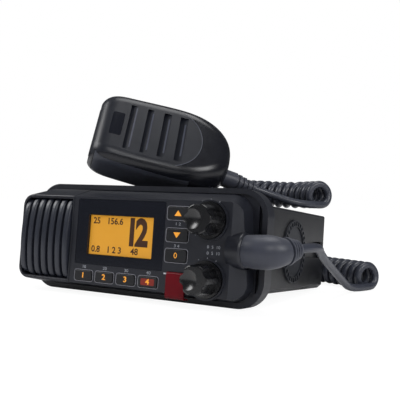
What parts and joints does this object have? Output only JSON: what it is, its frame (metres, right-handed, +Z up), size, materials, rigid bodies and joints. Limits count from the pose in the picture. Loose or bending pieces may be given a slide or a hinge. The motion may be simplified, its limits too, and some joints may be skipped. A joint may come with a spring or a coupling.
{
  "type": "vhf marine radio",
  "caption": "Fixed-mount VHF marine radio: front panel with fins, lit display, keys and knobs, boxy chassis, and a fist handset lying on its lid, on a curly cord.",
  "frame": {"origin": "on the floor below the middle of the radio and its handset, cord left out", "axes": "+Z up, +X to the right as one faces the front panel, the panel faces -Y"},
  "size_m": [0.2206, 0.2346, 0.1469],
  "materials": {
    "case": "satin charcoal moulding",
    "inner_plastic": "plain dark plastic",
    "window": "glossy black window surround",
    "display": "amber lit glass",
    "key": "dark moulded rubber",
    "rubber_dark": "dark rubber",
    "board": "circuit board",
    "red_cover": "dark red plastic",
    "steel": "steel",
    "knob": "soft-touch black",
    "cast_case": "black powder coat on cast metal",
    "cover_paint": "black paint",
    "boss": "dark ribbed plastic",
    "heat_sink_metal": "black anodised",
    "nickel": "nickel plate",
    "handset_case": "satin dark moulding",
    "grey_grip": "charcoal grip",
    "grey_rubber": "charcoal rubber",
    "cord": "charcoal cord"
  },
  "bodies": {
    "radio": {"front_bezel": "case", "speaker_grille": "case", "speaker_driver": "inner_plastic", "display_window": "window", "lit_glass": "display", "keypad_mat": "rubber_dark", "control_board": "board", "alert_hinge_pin": "steel", "volume_control": "inner_plastic", "squelch_control": "inner_plastic", "bezel_gasket": "rubber_dark", "chassis": "cast_case", "top_cover": "cover_paint", "cover_screws": "steel", "side_boss_right": "boss", "side_boss_left": "boss", "main_board": "board", "shield_can": "steel", "heat_sink": "heat_sink_metal", "antenna_socket": "nickel", "power_gland": "rubber_dark", "boot_collar": "case", "lead_boot": "grey_rubber", "cord_lower_run": "cord", "cord_coil": "cord", "cord_upper_run": "cord"},
    "up_key": {"up_key": "key"},
    "down_key": {"down_key": "key"},
    "enter_key": {"enter_key": "key"},
    "soft_key_1": {"soft_key_1": "key"},
    "soft_key_2": {"soft_key_2": "key"},
    "soft_key_3": {"soft_key_3": "key"},
    "soft_key_4": {"soft_key_4": "key"},
    "alert_cover": {"alert_cover": "red_cover"},
    "alert_button": {"alert_button": "red_cover"},
    "volume_knob": {"volume_knob": "knob", "volume_shaft": "steel"},
    "squelch_knob": {"squelch_knob": "knob", "squelch_shaft": "steel"},
    "handset": {"handset_rear": "handset_case", "handset_front": "handset_case", "name_plate": "knob", "mic_capsule": "inner_plastic", "hang_stud": "steel", "handset_gland": "grey_rubber"},
    "talk_lever": {"talk_lever": "grey_grip"},
    "handset_up_key": {"handset_up_key": "key"},
    "handset_down_key": {"handset_down_key": "key"}
  },
  "joints": [
    {"name": "up_key_press", "type": "slide", "parent": "radio", "child": "up_key", "axis": [0, 0.9978, -0.0665], "range_m": [0, 0.0006], "stiffness_N_per_m": 500},
    {"name": "down_key_press", "type": "slide", "parent": "radio", "child": "down_key", "axis": [0, 0.9978, -0.0665], "range_m": [0, 0.0006], "stiffness_N_per_m": 500},
    {"name": "enter_key_press", "type": "slide", "parent": "radio", "child": "enter_key", "axis": [0, 0.9978, -0.0665], "range_m": [0, 0.0006], "stiffness_N_per_m": 500},
    {"name": "soft_key_1_press", "type": "slide", "parent": "radio", "child": "soft_key_1", "axis": [0, 0.9978, -0.0665], "range_m": [0, 0.0006], "stiffness_N_per_m": 500},
    {"name": "soft_key_2_press", "type": "slide", "parent": "radio", "child": "soft_key_2", "axis": [0, 0.9978, -0.0665], "range_m": [0, 0.0006], "stiffness_N_per_m": 500},
    {"name": "soft_key_3_press", "type": "slide", "parent": "radio", "child": "soft_key_3", "axis": [0, 0.9978, -0.0665], "range_m": [0, 0.0006], "stiffness_N_per_m": 500},
    {"name": "soft_key_4_press", "type": "slide", "parent": "radio", "child": "soft_key_4", "axis": [0, 0.9978, -0.0665], "range_m": [0, 0.0006], "stiffness_N_per_m": 500},
    {"name": "alert_cover_flip", "type": "hinge", "parent": "radio", "child": "alert_cover", "pos_m": [0.0403, -0.08071, 0.02117], "axis": [-1, 0, 0], "range_deg": [0, 100], "stiffness_Nm_per_rad": 0.002},
    {"name": "alert_button_press", "type": "slide", "parent": "radio", "child": "alert_button", "axis": [0, 0.9978, -0.0665], "range_m": [0, 0.0009], "stiffness_N_per_m": 500},
    {"name": "volume_turn", "type": "hinge", "parent": "radio", "child": "volume_knob", "pos_m": [0.0617, -0.07814, 0.05667], "axis": [0, 0.9978, -0.0665], "range_deg": [-150, 150]},
    {"name": "squelch_turn", "type": "hinge", "parent": "radio", "child": "squelch_knob", "pos_m": [0.0617, -0.08059, 0.01986], "axis": [0, 0.9978, -0.0665], "range_deg": [-150, 150]},
    {"name": "handset_lift", "type": "slide", "parent": "radio", "child": "handset", "axis": [0, 0, 1], "range_m": [0, 0.04], "deforming": ["cord_upper_run"]},
    {"name": "talk_press", "type": "slide", "parent": "handset", "child": "talk_lever", "axis": [-0.1682, 0.5212, 0.8367], "range_m": [0, 0.0015], "stiffness_N_per_m": 800},
    {"name": "handset_up_press", "type": "slide", "parent": "handset", "child": "handset_up_key", "axis": [0.776, 0.5934, -0.2136], "range_m": [0, 0.0008], "stiffness_N_per_m": 500},
    {"name": "handset_down_press", "type": "slide", "parent": "handset", "child": "handset_down_key", "axis": [0.776, 0.5934, -0.2136], "range_m": [0, 0.0008], "stiffness_N_per_m": 500}
  ]
}
